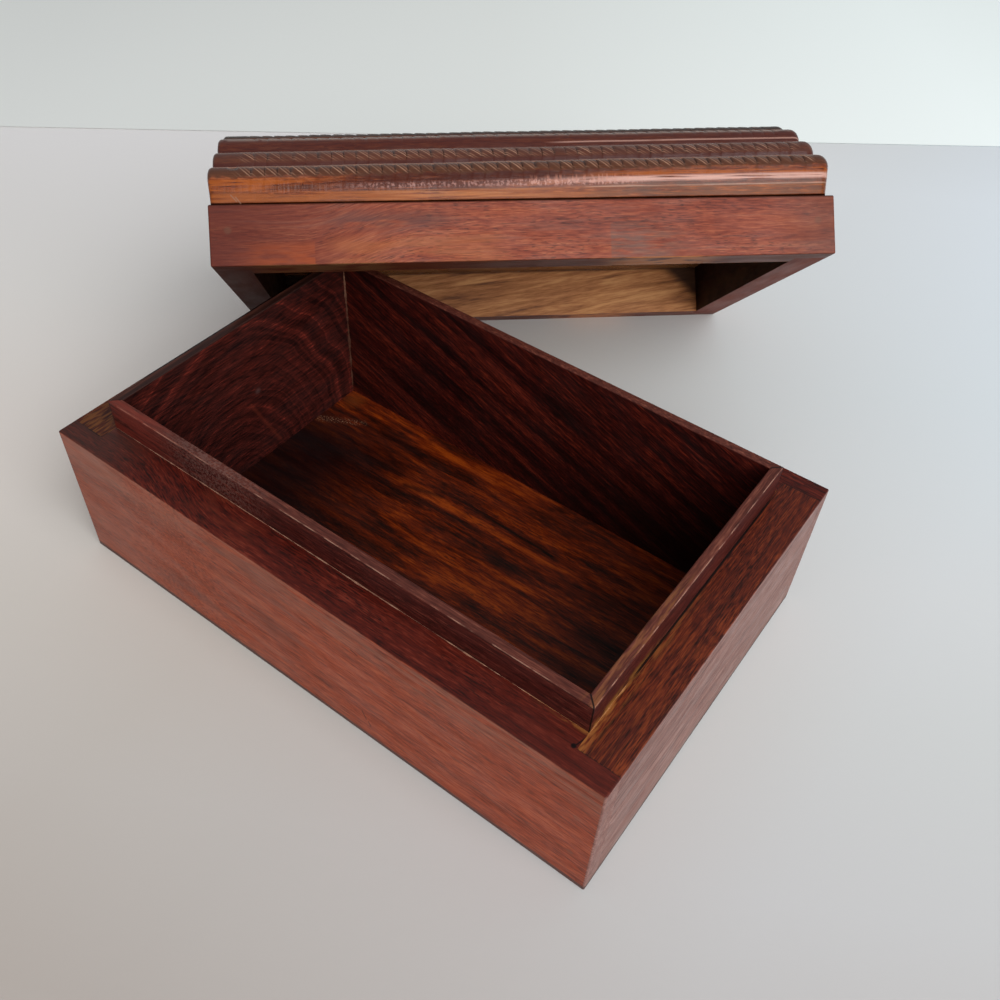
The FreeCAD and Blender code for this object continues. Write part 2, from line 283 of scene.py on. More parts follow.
frontWood = [(0.33, "5c2211"), (0.44, "84361c"), (0.54, "984226"), (0.67, "ac5636")]
# the right end's pink and grey streaked wood, made paler and greyer by a painted sheen of the window
rightWood = [(0.33, "5a3932"), (0.44, "774f47"), (0.54, "875f55"), (0.67, "a07c73")]
lidWood = [(0.33, "4c1a0e"), (0.44, "742f1c"), (0.54, "883f27"), (0.67, "a25a3a")]
ledgeWood = [(0.33, "1e0603"), (0.44, "400e07"), (0.54, "52160b"), (0.67, "6e2a1c")]
rightLedgeWood = [(0.33, "160602"), (0.43, "3a120a"), (0.53, "551d0e"), (0.66, "783418")]
darkWood = [(0.34, "150404"), (0.46, "2b0907"), (0.56, "44120c"), (0.68, "6c2516")]
ringWood = [(0.36, "180505"), (0.48, "35120e"), (0.60, "4e1b15"), (0.74, "843226")]
lipWood = [(0.33, "220806"), (0.45, "3c110d"), (0.55, "4e1c16"), (0.67, "6e3428")]
lipTopWood = [(0.33, "341510"), (0.45, "4c231b"), (0.55, "5d2e24"), (0.67, "7c4838")]
panelWood = [(0.33, "130400"), (0.44, "3c1002"), (0.54, "621e03"), (0.67, "8e3a08")]
goldWood = [(0.32, "6a4129"), (0.43, "966038"), (0.53, "b4794a"), (0.66, "cd9660")]
ceilingWood = [(0.33, "442614"), (0.44, "664024"), (0.54, "80522e"), (0.67, "9c6c40")]
blackWood = [(0.32, "0a0302"), (0.48, "180705"), (0.66, "2c0f0a")]

ledgeFace = (52.55, 52.9)  # heights between which a wall's outer face gives way to its top
lipFace = (63.55, 63.8)  # the same for the liner strips
lipCorner = (84.4, 49.0)  # inner corner of the lip
nailHoles = {  # places on both sides of the middle, and up
    "base": ((93.7, 16.0), (93.7, 35.0)),
    "lid": ((94.3, 11.0),),
    "radius": 1.1,
    "soft": 0.5,
}

ledgeTones = {
    "darkPores": ("0c0302", 0.7), "seam": ("120504", 0.85), "soiledFoot": ("443633", 0.85),
}


def ledgeMarks(board, colour, stops, seam):  # the wood of the ledge, and what it shares on all four walls
    ledge = fade(board.z, *ledgeFace)
    colour = tint(colour, ledge, grainColour(board, stops, 34.0, 1.3, 0.55))
    # the last tone darkens each wall below about 2 mm from its underside
    return ledge, tintAll(colour, ledgeTones, darkPores=every(ledge, board.pore), seam=every(seam, ledge),
                          soiledFoot=fade(board.z, 2.4, 1.8))


def filledHoles(board, colour, holes, tone):
    for hole in holes:
        filled = spotOn(board.farX, board.z, hole, nailHoles["radius"], nailHoles["soft"])
        colour = tint(colour, filled, *tone)
    return colour


longWallTones = {
    "leftTongue": ("5c2a1e", 0.6), "lacquerFilm": ("9c642c", 0.8), "filledHole": ("6b4c3c", 0.35),
}


def longWallMarks(board, colour):
    endGrain = grainColour(board, rightWood, 3.0, 2.2, 0.6)  # of the tongues, redder at the left end
    endGrain = tintAll(endGrain, longWallTones, leftTongue=fade(board.x, 0.5, -0.5))
    colour = tint(colour, fade(board.farX, 99.3, 99.6), endGrain)
    # seams where the tongues lap over the end walls
    lap = every(within(board.farY, 57.4, 57.65, 0.1), fade(board.farX, 87.2, 87.5))
    leg = every(within(board.farX, 87.3, 87.55, 0.1), fade(board.farY, 57.7, 57.4))
    ledge, colour = ledgeMarks(board, colour, ledgeWood, either(lap, leg))
    film = every(ledge, fade(board.farY, 53.4, 52.2), fade(board.x, 70.0, 84.0))
    colour = tintAll(colour, longWallTones, lacquerFilm=every(film, uneven(board, 3.0, 1.0, 0.36, 0.6)))
    return filledHoles(board, colour, nailHoles["base"], longWallTones["filledHole"])


# small dents in the front face, each from one place to another
chips = (((19.4, 41.6), (21.6, 41.0)), ((21.4, 13.0), (22.8, 9.6)), ((23.6, 9.0), (24.4, 7.2)))
frontWallTones = {
    "paleTop": ("92705f", 0.3), "rubbedLeft": ("8a5f52", 0.3), "shaded": ("6a3c30", 0.45),
    "chip": ("3a150e", 0.8), "ledgeLeft": ("3e2a24", 0.5), "ledgeWarm": ("6a2a18", 0.35),
    "ledgeRight": ("521c13", 0.35), "openSeam": ("080202", 0.97),
}


def frontWallMarks(board, colour):
    x, y, z = board.x, board.y, board.z
    # the pale band on the upper part of the face is a painted sheen
    colour = tintAll(colour, frontWallTones,
                     paleTop=every(within(z, 42.0, 60.0, 5.0), uneven(board, 24.0, 2.0, 0.34, 0.62)),
                     rubbedLeft=fade(x, -30.0, -100.0),
                     shaded=every(within(x, -60.0, 20.0, 15.0), uneven(board, 40.0, 8.0, 0.48, 0.66)))
    for start, stop in chips:
        colour = tint(colour, strokeOn(x, z, start, stop, 0.5), *frontWallTones["chip"])
    colour = longWallMarks(board, colour)
    ledge = fade(z, *ledgeFace)
    warm = every(within(x, -46.0, -22.0, 8.0), uneven(board, 12.0, 4.0, 0.40, 0.60))
    opened = strokeOn(x, y, (-93.2, -57.5), (-88.4, -57.6), 0.5, 0.15)
    opened = either(opened, spotOn(x, y, (86.3, -57.3), 0.7, 0.2))
    opened = either(opened, strokeOn(x, y, (86.6, -57.0), (87.8, -52.6), 0.35))
    return tintAll(colour, frontWallTones, ledgeLeft=every(ledge, fade(x, -62.0, -84.0)),
                   ledgeWarm=every(ledge, warm), ledgeRight=every(ledge, fade(x, 48.0, 84.0)),
                   openSeam=every(opened, ledge))


endWallTones = {
    "rust": ("8a3e1a", 0.4), "lacquerFilm": ("9a5e2c", 0.8), "leftLedge": ("2c130d", 0.6),
    "crack": ("080302", 0.95),
}


def endWallMarks(board, colour):
    x, y = board.x, board.y
    ledge, colour = ledgeMarks(board, colour, rightLedgeWood, within(board.farY, 57.3, 58.0, 0.1))
    film = every(ledge, fade(x, 91.0, 87.2), fade(y, 20.0, -46.0), uneven(board, 0.7, 5.0, 0.40, 0.62))
    return tintAll(colour, endWallTones,
                   rust=every(ledge, uneven(board, 0.7, 9.0, 0.46, 0.66), fade(y, 20.0, -40.0)),
                   lacquerFilm=film,
                   leftLedge=every(ledge, fade(x, 0.5, -0.5)),
                   crack=every(ledge, fade(x, 88.05, 87.95), within(y, -32.0, 50.0, 4.0)))


lidWallTones = {
    "leftInside": ("0a0402", 0.95), "rim": ("42241b", 0.6), "wornLeft": ("83603c", 0.5),
    "wornRight": ("c27c4c", 0.8), "deepCorner": ("180907", 0.88), "filledHole": ("5e4534", 0.35),
    "underTop": ("220d08", 0.6),
}


def lidWallMarks(board, colour):
    x, z = board.x, board.z
    inside = fade(board.farY, 52.75, 52.65)
    colour = tint(colour, inside, grainColour(board, goldWood, 30.0, 2.6, 0.3))
    rim = every(fade(z, 0.35, 0.1), fade(board.farY, 52.8, 53.0))
    # the near black at the inner left end and the dark tone in the inner right corner are painted shadow
    colour = tintAll(colour, lidWallTones,
                     leftInside=every(inside, fade(x, -70.0, -76.0)),
                     rim=rim,
                     wornLeft=every(rim, within(x, -84.0, -46.0, 8.0), uneven(board, 9.0, 4.0, 0.36, 0.56)),
                     wornRight=every(rim, within(x, 28.0, 58.0, 8.0), uneven(board, 9.0, 4.0, 0.30, 0.50)),
                     deepCorner=every(inside, fade(added(x, (z, 1.1)), 92.0, 99.0)))
    colour = filledHoles(board, colour, nailHoles["lid"], lidWallTones["filledHole"])
    # the dark line along the top of the walls, under the carved top, is painted shade
    return tintAll(colour, lidWallTones, underTop=fade(z, 18.2, 18.8))


lidFrontTones = {
    "leftEnd": ("4c170d", 0.75), "orangePatch": ("9c4414", 0.55), "orangeBand": ("a05a2c", 0.4),
    "violet": ("52322e", 0.7), "grey": ("5c4a42", 0.6), "rightEnd": ("5c3428", 0.5),
}


def lidFrontMarks(board, colour):  # darker at its left end, then orange, red and greyer parts, and painted shade at its right end
    x, z = board.x, board.z
    patch = every(fade(x, -96.0, -78.0), fade(x, -67.8, -68.4), fade(z, 8.5, 4.0))
    band = every(within(x, -62.0, -10.0, 6.0), fade(z, 11.0, 6.0))
    violet = every(within(x, -62.0, -26.0, 8.0), within(z, 11.0, 15.5, 2.5))
    grey = every(fade(x, 25.0, 25.8), fade(x, 58.0, 36.0), fade(z, 16.0, 6.0))
    colour = tintAll(colour, lidFrontTones,
                     leftEnd=fade(x, -40.0, -98.0),
                     orangePatch=every(patch, uneven(board, 12.0, 3.0, 0.30, 0.55)),
                     orangeBand=every(band, uneven(board, 30.0, 4.0, 0.3, 0.6)),
                     violet=every(violet, uneven(board, 16.0, 3.0, 0.34, 0.52)),
                     grey=every(grey, uneven(board, 9.0, 1.6, 0.34, 0.60)),
                     rightEnd=fade(x, 74.0, 98.0))
    return lidWallMarks(board, colour)


lidEndTones = {"rim": ("5e2c22", 0.7), "leftRim": ("3c2622", 0.75)}


def lidEndMarks(board, colour):
    # the inner faces of the ends are painted near black: painted shade
    inside = addNode(board.tree, "ShaderNodeValToRGB", (board.fibre,), blackWood)
    colour = tint(colour, fade(board.farX, 88.75, 88.65), inside)
    rim = fade(board.z, 0.35, 0.1)
    return tintAll(colour, lidEndTones, rim=rim, leftRim=every(rim, fade(board.x, 0.0, -50.0)))


linerTones = {
    "darkPores": ("0c0302", 0.6), "paleTop": ("9a6238", 0.4), "lacquerFilm": ("9a662c", 0.6),
    "wornEdge": ("b08470", 0.6), "openMitre": ("0a0302", 0.92),
}


def linerMarks(board, colour):
    x, y, z, farX, farY = board.x, board.y, board.z, board.farX, board.farY
    outside = either(fade(farX, 86.9, 87.2), fade(farY, 51.5, 51.8))
    colour = tint(colour, outside, grainColour(board, lipWood, 22.0, 0.9, 0.5))
    colour = tintAll(colour, linerTones, darkPores=every(outside, board.pore))
    topFace = fade(z, *lipFace)
    colour = tint(colour, topFace, grainColour(board, lipTopWood, 22.0, 0.9, 0.5))
    pale = every(topFace, fade(x, 82.0, 86.0), fade(y, 6.0, -12.0), uneven(board, 0.9, 6.0, 0.40, 0.64))
    film = every(fade(x, 86.9, 87.2), fade(z, 57.0, 53.6), fade(y, -8.0, -40.0))
    # the top outer edge is paler: wear, with a painted highlight along it
    edge = every(fade(z, 63.6, 63.75), either(fade(farX, 87.15, 87.3), fade(farY, 51.75, 51.9)))
    cornerX, cornerY = lipCorner
    mitre = added(cornerY - cornerX, (farX, 1.0), (farY, -1.0))
    pastCorner = every(fade(farX, cornerX - 0.1, cornerX + 0.1), fade(farY, cornerY - 0.1, cornerY + 0.1))
    return tintAll(colour, linerTones, paleTop=pale,
                   lacquerFilm=every(film, uneven(board, 1.2, 4.0, 0.38, 0.6)),
                   wornEdge=every(edge, uneven(board, 5.0, 5.0, 0.42, 0.62)),
                   openMitre=every(within(mitre, -0.32, 0.32, 0.1), pastCorner))


frontLinerTones = {"red": ("7c2c20", 0.5), "rubbed": ("73534b", 0.45)}


def frontLinerMarks(board, colour):  # redder towards its left end, with a greyer rubbed stretch beside it
    showing = either(fade(board.y, -51.5, -51.8), fade(board.z, *lipFace))
    red = every(fade(board.x, -54.0, -74.0), uneven(board, 16.0, 1.2, 0.34, 0.54))
    rubbed = every(within(board.x, -60.0, -26.0, 12.0), uneven(board, 0.7, 0.7, 0.42, 0.60))
    return tintAll(linerMarks(board, colour), frontLinerTones, red=every(showing, red),
                   rubbed=every(showing, rubbed))


backLinerTones = {"dim": ("0a0101", 0.7)}


def backLinerMarks(board, colour):  # its lower right part is painted almost black: painted shadow of the right end wall
    dim = every(fade(board.x, -10.0, 60.0), fade(board.z, 52.0, 14.0))
    return linerMarks(board, tintAll(colour, backLinerTones, dim=dim))


leftLinerTones = {
    "smudge": ("6a5450", 0.3), "stroke": ("6a2a1c", 0.35), "topEdge": ("2c1d18", 0.55),
    "innerEdge": ("1a0906", 0.7),
}


def leftLinerMarks(board, colour):  # a pale smudge and a red stroke across the arches, and a dark top edge
    x, y, z = board.x, board.y, board.z
    colour = tintAll(colour, leftLinerTones, smudge=spotOn(y, z, (1.9, 33.8), 0.9, 1.0),
                     stroke=strokeOn(y, z, (-2.2, 30.0), (8.8, 5.6), 0.8, 0.8))
    return tintAll(linerMarks(board, colour), leftLinerTones, topEdge=fade(z, 63.4, 63.8),
                   innerEdge=every(fade(x, -86.6, -85.6), fade(z, *lipFace)))


pools = (((-56.0, 38.0), (-39.0, 36.5), 2.4), ((-34.0, 21.0), (-20.0, 25.0), 1.8))  # ends and width
panelTones = {
    "pooled": ("140402", 0.7), "frontPart": ("2e1c12", 0.4), "dim": ("100202", 0.92),
    "crumbs": ("b98d6f", 0.5), "corner": ("7a3a12", 0.5),
}


def panelMarks(board, colour):  # dark blotches where the lacquer pooled, and crumbs of dry glue
    x, y = board.x, board.y
    for start, stop, width in pools:
        colour = tint(colour, strokeOn(x, y, start, stop, width, 1.2), *panelTones["pooled"])
    crumbs = strokeOn(x, y, (-83.3, 28.5), (-68.4, 36.8), 3.0, 0.8)
    return tintAll(colour, panelTones, frontPart=fade(y, -10.0, -40.0),
                   dim=every(fade(x, -20.0, -70.0), fade(y, 46.0, 20.0)),
                   crumbs=every(crumbs, uneven(board, 0.5, 0.5, 0.56, 0.64)),
                   corner=spotOn(x, y, (-80.0, 45.0), 3.5, 3.5))


acrossGrain = (0, 0, -90)
boards = {
    "base_front_wall": {"seed": 1.0, "band": (120.0, 8.0), "stops": frontWood, "pores": 0.30,
                        "shares": (0.30, 0.22, 0.70), "swirl": (-28.0, -80.0, (0, 11, 3)),
                        "marks": frontWallMarks},
    "base_back_wall": {"seed": 2.0, "band": (120.0, 8.0), "stops": frontWood, "marks": longWallMarks},
    "base_left_end": {"seed": 4.0, "band": (90.0, 7.0), "stops": frontWood, "grainTurn": acrossGrain,
                      "marks": endWallMarks},
    "base_right_end": {"seed": 5.0, "band": (90.0, 5.0), "stops": rightWood, "grainTurn": acrossGrain,
                       "silver": "94807a", "silvered": 0.4, "pores": 0.3, "marks": endWallMarks},
    "lid_front_wall": {"seed": 7.0, "band": (60.0, 6.0), "stops": lidWood, "onLid": True,
                       "shares": (0.30, 0.22, 0.50), "swirl": (-74.0, -34.0, (0, 0, 10)), "pores": 0.55,
                       "marks": lidFrontMarks},
    "lid_back_wall": {"seed": 8.0, "band": (50.0, 4.0), "stops": frontWood, "onLid": True,
                      "grainTurn": (0, 8, 0), "marks": lidWallMarks},
    "lid_left_end": {"seed": 9.0, "band": (80.0, 6.0), "stops": frontWood, "onLid": True,
                     "grainTurn": acrossGrain, "specular": 0.1, "marks": lidEndMarks},
    "lid_right_end": {"seed": 10.0, "band": (80.0, 6.0), "stops": frontWood, "onLid": True,
                      "grainTurn": acrossGrain, "specular": 0.1, "marks": lidEndMarks},
    "liner_front": {"seed": 12.0, "band": (120.0, 6.0), "stops": darkWood, "silvered": 0.1,
                    "marks": frontLinerMarks},
    "liner_back": {"seed": 13.0, "band": (70.0, 4.2), "stops": darkWood, "grainTurn": (0, -22, 0),
                   "shares": (0.55, 0.45, 0.65), "silvered": 0.0, "marks": backLinerMarks},
    "liner_left": {"seed": 15.0, "band": (60.0, 6.0), "stops": ringWood, "grainTurn": acrossGrain,
                   "silvered": 0.0, "shares": (0.50, 0.15, 0.60),
                   "rings": ((-85.0, -10.0, -4.0), (60.0, 24.0, 32.0)), "marks": leftLinerMarks},
    "liner_right": {"seed": 16.0, "band": (60.0, 6.0), "stops": darkWood, "grainTurn": acrossGrain,
                    "silvered": 0.1, "marks": linerMarks},
    "bottom_panel": {"seed": 18.0, "band": (44.0, 5.5), "stops": panelWood, "shares": (0.70, 0.12, 0.40),
                     "wander": 0.8, "pores": 0.6, "silvered": 0.0, "marks": panelMarks},
}


def paint(name, material):
    slots = nodes[name].data.materials
    slots.clear()
    slots.append(material)


for boardName, look in boards.items():
    board = startBoard("sheesham " + boardName.replace("_", " "), look)
    colour = woodColour(board, look)
    paint(boardName, finishBoard(board, look, look["marks"](board, colour)))
print("boards painted:", len(boards))


# ---- new pieces
def addPiece(bm, name, smoothAngle=None):
    mesh = bpy.data.meshes.new(name)
    bm.to_mesh(mesh)
    bm.free()
    piece = bpy.data.objects.new(name, mesh)
    bpy.context.scene.collection.objects.link(piece)
    if smoothAngle:
        mesh.shade_smooth()
        mesh.set_sharp_from_angle(angle=math.radians(smoothAngle))
    return piece


def tubeFrom(countAlong, countAround, placeOf, layerNames=()):  # closed skin through placeOf(i, j)
    bm = bmesh.new()
    bmesh.ops.create_grid(bm, x_segments=countAlong - 1, y_segments=countAround, size=1.0)
    layers = [bm.verts.layers.float.new(name) for name in layerNames]
    for vert in bm.verts:
        i = round((vert.co.x + 1) / 2 * (countAlong - 1))
        j = round((vert.co.y + 1) / 2 * countAround) % countAround
        place, *values = placeOf(i, j)
        vert.co = place * mm
        for layer, value in zip(layers, values):
            vert[layer] = value
    bmesh.ops.remove_doubles(bm, verts=bm.verts, dist=1e-6)
    bmesh.ops.holes_fill(bm, edges=[e for e in bm.edges if e.is_boundary], sides=0)
    bmesh.ops.recalc_face_normals(bm, faces=bm.faces)
    return bm


# ---- carved top: eleven ridges side by side, each gouged like a rope; all sizes in mm
topLook = {
    "length": 200.0,
    "width": 126.6,
    "foot": 19.0,  # height of the lid's walls, which carry the top
    "crests": (14.0, 22.0, 30.0, 34.8, 37.4, 38.3),  # above the foot, from the outermost ridge inwards
    "overlap": 0.3,
    "tuck": 0.8,
    "endTuck": (0.6, 1.3),  # how far the left and the right end curl in at the foot
    "taper": 1.0,  # the right end was left this much higher and the left end lower
    "endRound": (1.3, 3.4),
    "endStep": 0.02,  # the sawn ends stand out this little, so that their colour stops at their edge
    "endSquare": (5.0, 5.0),  # plain length before the first gouge
    "ropePitch": 4.0,
    "ropeStart": (-1.0, -0.8, 2.5, 3.0, 3.0, 3.0),  # behind the crest of each ridge
    "ropeReach": (8.0, 8.4, 4.6, 4.2, 4.0, 4.0),  # down the open side of each ridge
    "ropeDepth": (0.44, 0.44, 0.48, 0.45, 0.42, 0.42),
    "ropeFade": (2.2, 1.6),  # a gouge deepens and rises again over this much
    "outerTaper": 0.5,  # the outer ridge's gouges are this much longer at the left end, shorter at the right
    "underLean": 4.0,  # past its ends a gouge's lean dies away over this much
    "slipFade": 3.0,  # and its slip over this much
    "brow": 1.7,  # down from the crest, to where a ridge turns out of sight from the front
    "lineSlant": (0.32, 0.44, 0.4, 0.4, 0.4, 0.4),  # of a strand for each mm of height under the brow
    "ropeLean": 0.42,  # mm along for each mm down
    "ropeBend": 0.035,  # and so much back again for each square mm
    "waviness": 0.20,
    "waveLength": (19.0, 9.0),  # along and down
    "tuckReach": (5.0, 11.0),  # the ends curl in over this much length and height
    "taperHeight": 9.0,
    "plainEnds": ((2.0, 9.0), (4.0, 9.0)),  # from each end the gouges lean in between these
    "started": ((7.0, 12.0), (4.5, 8.0)),  # and reach their depth between these
    "slips": (0.5, 1.6),  # how far one gouge, and the whole row of a ridge, runs ahead or behind
    "startVaries": 2.5,
    "reachVaries": 1.1,
    "depthVaries": 0.35,  # share of the depth
    "shown": (0.6, 0.8),  # strength of the pale lines, and how much it varies
    "notch": (-92.5, 3.0, 1.8, 0.7),  # a slip of the gouge: place along and down, radius and depth
    "zoneSteps": 12,
    "flankSteps": 6,
    "underSteps": 8,
}
# across one strand: place along the pitch, and share of the depth
gougeShape = ((0.0, 0.65), (0.06, 0.12), (0.15, 0.0), (0.32, 0.03), (0.52, 0.09), (0.72, 0.20),
              (0.87, 0.42), (0.94, 1.0))
strandLayers = ("cut", "down", "rank", "strand", "shown", "slant")  # what the skin tells its material
undersideSays = (0.0, 30.0, 0.0, 0.0, 0.0, 0.0)  # far down from every crest
sawnEndSays = (0.0, 10.0, 9.0, 0.0, 0.0, 0.0)  # a rank of its own


def ridgeShapes():
    crests = topLook["crests"]
    count = 2 * len(crests) - 1
    pitch = (topLook["width"] - topLook["overlap"]) / count
    radius = (pitch + topLook["overlap"]) / 2
    ridges = []
    for i in range(count):
        rank = min(i, count - 1 - i)
        spring = topLook["foot"] + crests[rank] - radius
        facing = 1 if i < len(crests) else -1  # ridges behind the middle are a mirror image
        y = (i - len(crests) + 1) * pitch
        ridges.append(SimpleNamespace(index=i, rank=rank, y=y, spring=spring, radius=radius, facing=facing))
    return ridges


def outerBow(ridge):  # radius of the outer flank, which leaves the crest upright and tucks in below
    drop, tuck = ridge.spring - topLook["foot"], topLook["tuck"]
    return drop, (drop ** 2 + tuck ** 2) / (2 * tuck)


def onRidge(ridge, q):  # point and outward normal, q mm from the crest towards the front
    quarter = ridge.radius * math.pi / 2
    side = -1 if q > 0 else 1
    if abs(q) <= quarter:
        angle = q / ridge.radius
        outward = Vector((-math.sin(angle), math.cos(angle)))
        return Vector((ridge.y, ridge.spring)) + ridge.radius * outward, outward
    down = abs(q) - quarter
    edge = ridge.y + side * ridge.radius
    if ridge.rank == 0 and side == -ridge.facing:
        bow = outerBow(ridge)[1]
        angle = down / bow
        point = Vector((edge - side * bow * (1 - math.cos(angle)), ridge.spring - bow * math.sin(angle)))
        return point, Vector((side * math.cos(angle), -math.sin(angle)))
    return Vector((edge, ridge.spring - down)), Vector((side, 0))


def buried(ridge, point):  # inside a ridge's outline
    if point.y <= ridge.spring:
        return abs(point.x - ridge.y) <= ridge.radius
    return (point - Vector((ridge.y, ridge.spring))).length <= ridge.radius


def valley(low, high):  # q on the lower and on the higher ridge where they meet
    side = 1 if high.y < low.y else -1
    near, far = 0.0, side * low.radius * math.pi / 2
    for halving in range(40):  # as far as the numbers can be halved
        middle = (near + far) / 2
        if buried(high, onRidge(low, middle)[0]):
            far = middle
        else:
            near = middle
    point = onRidge(low, near)[0]
    if point.y >= high.spring:
        reach = high.radius * math.acos(min(1, (point.y - high.spring) / high.radius))
    else:
        reach = high.radius * math.pi / 2 + high.spring - point.y
    return near, -side * reach


def ridgeEnd(ridges, i, side):  # q where ridge i meets its neighbour, or the foot of the outer flank
    ridge = ridges[i]
    if 0 <= i - side < len(ridges):
        other = ridges[i - side]
        return valley(other, ridge)[1] if other.spring < ridge.spring else valley(ridge, other)[0]
    drop, bow = outerBow(ridge)
    return side * (ridge.radius * math.pi / 2 + bow * math.asin(drop / bow))


def spread(start, stop, count):
    return [start + (stop - start) * k / count for k in range(count)]


def sectionPoints(ridges):  # the whole profile from the front foot to the back foot
    points = []
    for i, ridge in enumerate(ridges):
        front, back = ridgeEnd(ridges, i, 1), ridgeEnd(ridges, i, -1)
        reach = topLook["ropeReach"][ridge.rank]
        begin = topLook["ropeStart"][ridge.rank]
        low, high = (reach, -begin) if ridge.facing > 0 else (begin, -reach)
        share = (front - low) / (front - low + high - back)
        frontSteps = min(topLook["flankSteps"] - 1, max(1, round(topLook["flankSteps"] * share)))
        places = spread(front, low, frontSteps) + spread(low, high, topLook["zoneSteps"])
        places += spread(high, back, topLook["flankSteps"] - frontSteps)
        if i == len(ridges) - 1:
            places.append(back)
        for k, q in enumerate(places):
            point, normal = onRidge(ridge, q)
            points.append(SimpleNamespace(ridge=ridge, down=q * ridge.facing, point=point, normal=normal,
                                          valley=k == 0 and i > 0))
    return points


def smooth(value, low, high):
    t = min(1.0, max(0.0, (value - low) / (high - low)))
    return t * t * (3 - 2 * t)


def wander(*place):  # repeatable unevenness from -1 to 1
    return noise.noise(Vector(place))


def ropeShift(down, begin, reach):  # the gouges run like a helix and bend back at their lower end
    shift = topLook["ropeLean"] * (down - 2.0) - topLook["ropeBend"] * max(0.0, down) ** 2
    past = topLook["underLean"]
    return shift * (1 - smooth(down, reach, reach + past)) * smooth(down, -begin - past, -begin)


def stations():  # places along the top: (x, strand counted from the left, share of the gouge's depth)
    half = topLook["length"] / 2
    (leftRound, rightRound), (leftPlain, rightPlain) = topLook["endRound"], topLook["endSquare"]
    length = 2 * half - leftPlain - rightPlain
    count = int(length // topLook["ropePitch"])
    pitch = length / count
    quarter = [1 - math.cos(k * math.pi / 12) for k in range(7)]
    cap = half + topLook["endStep"]
    places = [(-cap, 0.0, 0.0)] + [(-half + leftRound * share, 0.0, 0.0) for share in quarter]
    for k in range(count):
        places += [(-half + leftPlain + (k + t) * pitch, k + t, depth) for t, depth in gougeShape]
    places.append((half - rightPlain, float(count), 0.0))
    places += [(half - rightRound * share, float(count), 0.0) for share in reversed(quarter)]
    return places + [(cap, float(count), 0.0)]


def inset(x):  # how far the rounded ends draw the surface in
    radius = topLook["endRound"][x > 0]
    e = topLook["length"] / 2 - abs(x)
    return radius - math.sqrt(max(0.0, radius ** 2 - (radius - e) ** 2)) if e < radius else 0.0


def gougeAt(spot, station):  # depth of the cut, its slip along the ridge, and how much the strand shows
    x, strand, share = station
    ridge, down = spot.ridge, spot.down
    half = topLook["length"] / 2
    fromLeft, fromRight = half + x, half - x
    gouge, seed = math.floor(strand), ridge.index * 7.3
    begin = topLook["ropeStart"][ridge.rank]
    reach = topLook["ropeReach"][ridge.rank]
    if ridge.rank == 0:
        reach -= topLook["outerTaper"] * x / half
    leftPlain, rightPlain = topLook["plainEnds"]
    inside = smooth(fromLeft, *leftPlain) * smooth(fromRight, *rightPlain)
    past = topLook["slipFade"]
    free = smooth(down, -begin - past, -begin) * (1 - smooth(down, reach, reach + past))
    # the last number of each wander keeps one kind of unevenness apart from another
    ownSlip, rowSlip = topLook["slips"]
    slip = ownSlip * wander(gouge * 0.9, seed, 4.0) + rowSlip * wander(seed, 9.0, 2.0)
    shift = inside * (ropeShift(down, begin, reach) + slip * free)
    (leftStart, leftFull), rightStart = topLook["started"]
    leftStart += topLook["startVaries"] * wander(seed, 1.0, 5.0)
    started = smooth(fromLeft, leftStart, leftFull) * smooth(fromRight, *rightStart)
    longer = reach + topLook["reachVaries"] * wander(gouge * 1.3, seed, 31.0)
    deepens, rises = topLook["ropeFade"]
    zone = started * smooth(down, -begin, -begin + deepens) * (1 - smooth(down, longer - rises, longer))
    deeper = 1.0 + topLook["depthVaries"] * wander(gouge * 1.7, seed, 11.0)
    depth = topLook["ropeDepth"][ridge.rank] * share * zone * deeper
    brow = topLook["brow"]
    strength, varies = topLook["shown"]
    shown = started * (strength + varies * wander(gouge * 2.1, seed, 17.0))
    shown *= smooth(down, brow + 0.4, brow + 2.0) * (1 - smooth(down, 0.8 * reach, reach))
    under = ridge.radius * (1 - math.cos(min(math.pi / 2, max(0.0, down - brow) / ridge.radius)))
    return depth, shift, max(0.0, shown), topLook["lineSlant"][ridge.rank] * under


def carvedPoint(spot, station):
    x, ridge, down = station[0], spot.ridge, spot.down
    half = topLook["length"] / 2
    depth, shift, shown, slant = gougeAt(spot, station)
    along, below, radius, deep = topLook["notch"]
    if ridge.index == 0:
        depth += deep * (1 - smooth(math.hypot(x - along, (down - below) * 0.8), 0.3 * radius, radius))
    waveAlong, waveDown = topLook["waveLength"]
    wavy = topLook["waviness"] * (0.3 + wander(x / waveAlong, ridge.index * 7.3, down / waveDown))
    place = spot.point - spot.normal * (depth + wavy + inset(x))
    if spot.valley:
        place = spot.point - Vector((0, 1)) * (wavy + 1.5 * inset(x))
    above = place.y - topLook["foot"]
    tuckLength, tuckHeight = topLook["tuckReach"]
    nearFoot = 1 - smooth(above, 0.0, tuckHeight)
    pull = topLook["endTuck"][x > 0] * nearFoot * smooth(abs(x), half - tuckLength, half)
    lift = topLook["taper"] * x / half * smooth(above, 0.0, topLook["taperHeight"])
    place = Vector((x + shift - math.copysign(pull, x), place.x, max(place.y + lift, topLook["foot"])))
    return place, depth, down, ridge.rank, station[1], shown, slant


def carvedTop():
    profile = sectionPoints(ridgeShapes())
    along = stations()
    under = topLook["underSteps"]

    def placeOf(i, j):
        if j < len(profile):
            place, *values = carvedPoint(profile[j], along[i])
        else:  # the flat underside, from the back foot to the front foot
            back, front = carvedPoint(profile[-1], along[i])[0], carvedPoint(profile[0], along[i])[0]
            place = back.lerp(front, (j - len(profile) + 1) / (under + 1))
            values = undersideSays
        if abs(along[i][0]) > topLook["length"] / 2:
            values = sawnEndSays
        return lidMatrix @ (place * mm) / mm, *values

    bm = tubeFrom(len(along), len(profile) + under, placeOf, strandLayers)
    return addPiece(bm, "rope_carved_top", smoothAngle=50)
